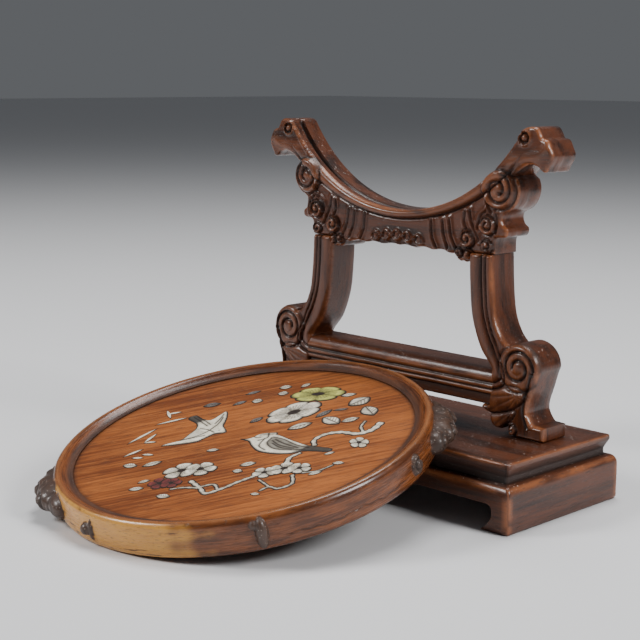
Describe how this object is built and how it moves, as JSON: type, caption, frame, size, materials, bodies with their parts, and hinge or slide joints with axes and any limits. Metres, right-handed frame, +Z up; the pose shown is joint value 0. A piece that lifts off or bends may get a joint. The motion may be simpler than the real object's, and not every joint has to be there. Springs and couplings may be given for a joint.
{
  "type": "rosewood table screen",
  "caption": "Round inlaid screen disc leaning on a carved rosewood stand with scroll legs, a crescent cradle and a block plinth.",
  "frame": {"origin": "on the ground under the middle of the whole object's box, disc and stand together", "axes": "+Z up, the front with the leaning disc faces -Y, +X to the viewer's right"},
  "size_m": [0.188, 0.2004, 0.1569],
  "materials": {
    "rosewood": "dark polished rosewood, glossy on the edges",
    "rim_wood": "polished, with yellow sapwood on the wall",
    "panel_wood": "orange brown, satin, fine straight grain",
    "shell": "engraved shell or bone, satin",
    "green_stone": "yellow green stone, satin",
    "red_stone": "dark red, satin",
    "grey_shell": "grey brown shell, satin"
  },
  "bodies": {
    "root": {"plinth": "rosewood", "left_leg": "rosewood", "right_leg": "rosewood", "rail": "rosewood", "cradle": "rosewood", "disc_rim": "rim_wood", "disc_panel": "panel_wood", "inlay_flying_bird": "shell", "inlay_green_flower": "green_stone", "inlay_leaf_01": "shell", "inlay_leaf_02": "shell", "inlay_leaf_03": "shell", "inlay_leaf_04": "shell", "inlay_leaf_05": "shell", "inlay_leaf_06": "shell", "inlay_leaf_07": "grey_shell", "inlay_leaf_08": "grey_shell", "inlay_leaf_09": "grey_shell", "inlay_leaf_10": "shell", "inlay_leaf_11": "shell", "inlay_leaf_12": "shell", "inlay_leaf_13": "shell", "inlay_leaf_14": "grey_shell", "inlay_leaf_15": "grey_shell", "inlay_leaf_16": "grey_shell", "inlay_leaf_17": "shell", "inlay_leaf_18": "shell", "inlay_leaf_19": "shell", "inlay_leaf_20": "shell", "inlay_leaf_21": "shell", "inlay_leaf_22": "shell", "inlay_leaf_23": "shell", "inlay_leaf_24": "shell", "inlay_leaf_25": "shell", "inlay_leaf_26": "shell", "inlay_leaf_27": "shell", "inlay_leaf_28": "shell", "inlay_left_blossom": "shell", "inlay_long_branch": "shell", "inlay_lower_twig": "shell", "inlay_middle_blossom": "shell", "inlay_perched_bird": "shell", "inlay_red_blossom": "red_stone", "inlay_right_blossom": "shell", "inlay_thick_branch": "shell", "inlay_white_flower": "shell"}
  },
  "joints": []
}
